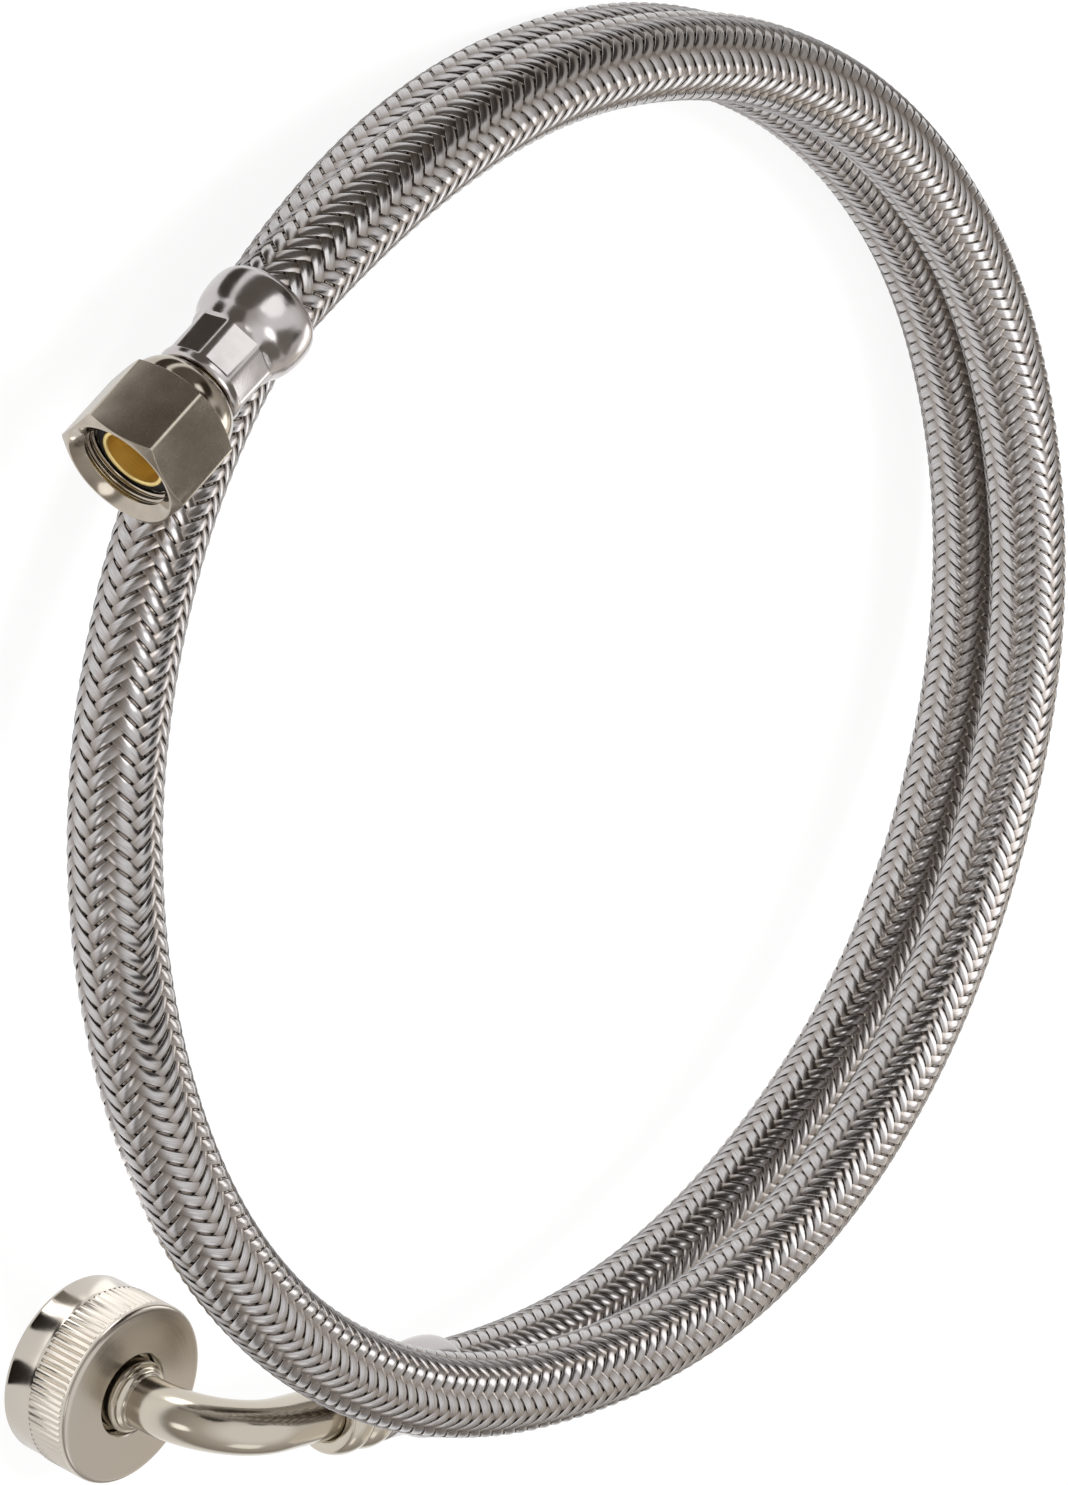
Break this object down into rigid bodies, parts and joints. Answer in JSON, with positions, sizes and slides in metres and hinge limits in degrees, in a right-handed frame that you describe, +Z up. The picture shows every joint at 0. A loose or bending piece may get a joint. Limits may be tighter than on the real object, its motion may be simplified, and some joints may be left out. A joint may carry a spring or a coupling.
{
  "type": "braided supply line",
  "caption": "Coiled braided steel water supply line with a hex compression nut on one end and an elbow with a swivel hose nut on the other.",
  "frame": {"origin": "bottom centre of the whole line's box, on the surface that it lies on", "axes": "+Z up, along the hose nut's axis; +X the way the hose leaves the elbow; the coil lies flat in XY"},
  "size_m": [0.2594, 0.237, 0.0565],
  "materials": {
    "braid": "woven bright stainless wire",
    "liner": "smooth extruded",
    "ferrule": "pressed and polished",
    "brass": "turned",
    "seal": "matt black",
    "hex_nut": "satin nickel plating",
    "plated_stem": "bright nickel plating",
    "elbow": "polished bent tube",
    "hose_nut": "satin nickel plating with a knurled band"
  },
  "bodies": {
    "hose": {"braid_sleeve": "braid", "inner_tube": "liner", "ferrule_a": "ferrule", "stem_a": "brass", "gasket_a": "seal", "ferrule_b": "ferrule", "stem_b": "plated_stem", "elbow_tube": "elbow", "tailpiece": "plated_stem"},
    "compression_nut": {"hex_nut": "hex_nut"},
    "swivel_nut": {"hose_nut": "hose_nut", "hose_washer": "seal"}
  },
  "joints": [
    {"name": "hex_nut_swivel", "type": "hinge", "parent": "hose", "child": "compression_nut", "pos_m": [-0.11865, 0.0507, 0.02654], "axis": [-0.7363, -0.6747, 0.0523], "continuous": true},
    {"name": "hose_nut_swivel", "type": "hinge", "parent": "hose", "child": "swivel_nut", "pos_m": [-0.06456, -0.10371, 0.0067], "axis": [0, 0, 1], "continuous": true}
  ]
}
